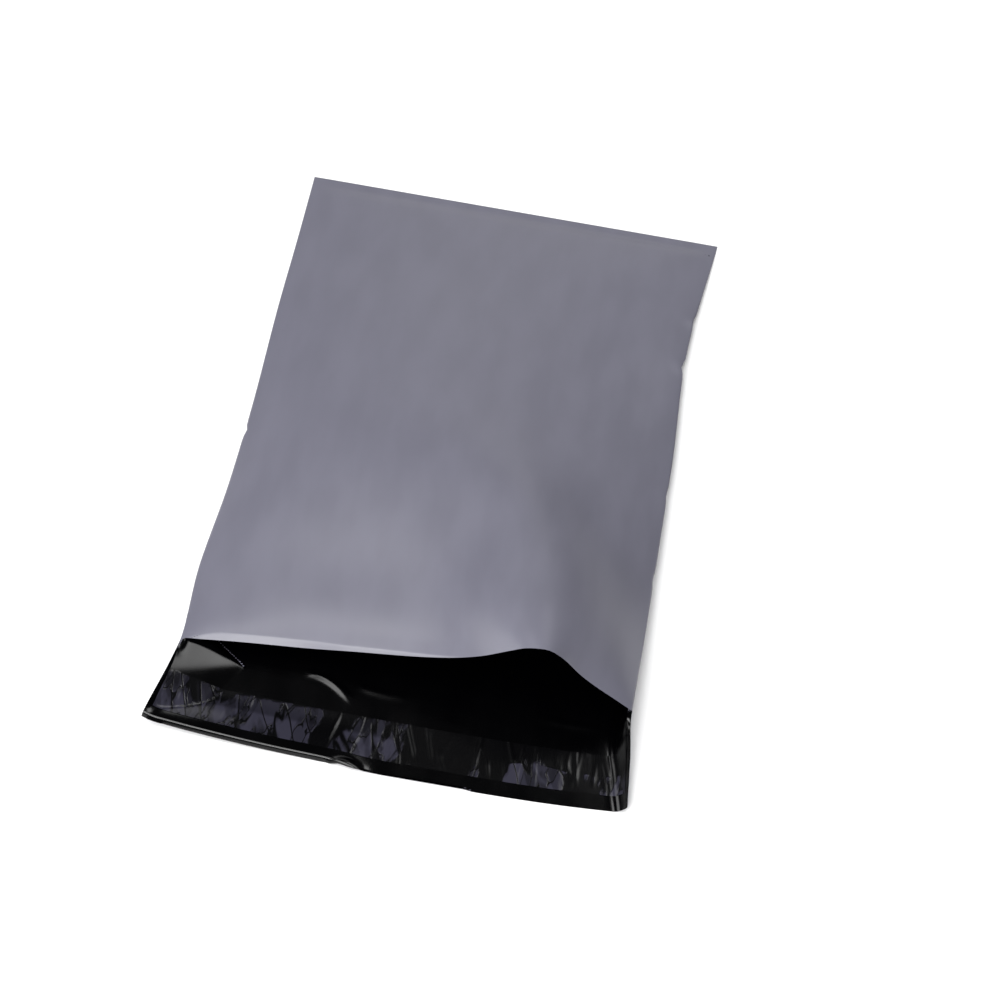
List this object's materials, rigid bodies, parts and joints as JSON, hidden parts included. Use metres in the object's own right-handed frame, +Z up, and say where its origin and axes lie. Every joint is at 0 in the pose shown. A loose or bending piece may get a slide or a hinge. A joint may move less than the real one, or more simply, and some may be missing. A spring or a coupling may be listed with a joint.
{
  "type": "poly mailer bag",
  "caption": "Flat courier bag of grey polythene, black inside, lying open on its back, with an adhesive strip and release liner on its lip.",
  "frame": {"origin": "on the ground, under the middle of the bag", "axes": "+Y along the bag towards its closed end, +X across it to the right as seen from the mouth, +Z up"},
  "size_m": [0.25, 0.4, 0.0548],
  "materials": {
    "film": "satin",
    "adhesive": "gloss",
    "liner": "gloss"
  },
  "bodies": {
    "root": {"bag_film": "film", "adhesive_strip": "adhesive", "release_liner": "liner"}
  },
  "joints": []
}
